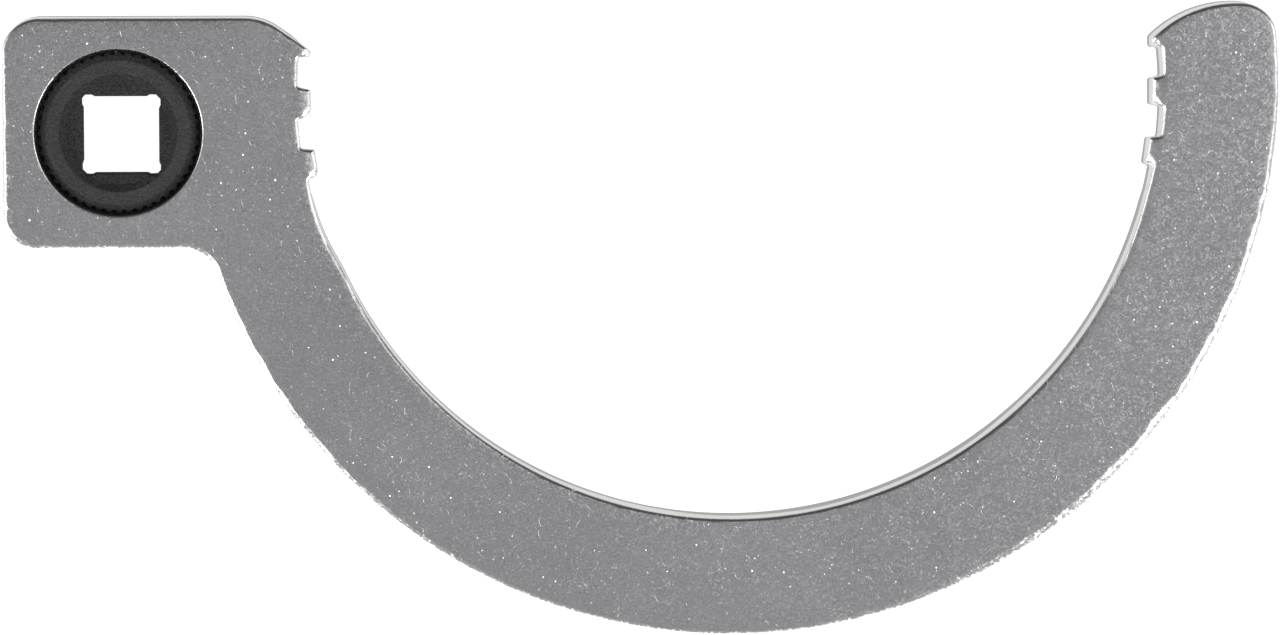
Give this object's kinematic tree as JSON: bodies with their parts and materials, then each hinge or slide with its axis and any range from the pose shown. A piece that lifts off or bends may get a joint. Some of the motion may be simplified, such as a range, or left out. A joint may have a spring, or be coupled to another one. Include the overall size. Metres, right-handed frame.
{
  "type": "oil filter wrench",
  "caption": "Flat C-shaped steel wrench that hooks over a spin-on oil filter with toothed jaws, turned through a square drive socket pressed into its head.",
  "frame": {"origin": "the filter's axis, at the centre of the C's inner arc, on the plate's back face", "axes": "+X from the head across the C to the free jaw, +Y out of the C's mouth, +Z out of the front face"},
  "size_m": [0.1565, 0.0778, 0.006],
  "materials": {
    "plated_steel": "blasted and zinc plated, dull, with fine sparkle and bright rolled edges",
    "black_steel": "black oxide over turned and knurled steel, slightly oily"
  },
  "bodies": {
    "root": {"jaw_plate": "plated_steel", "drive_insert": "black_steel"}
  },
  "joints": []
}
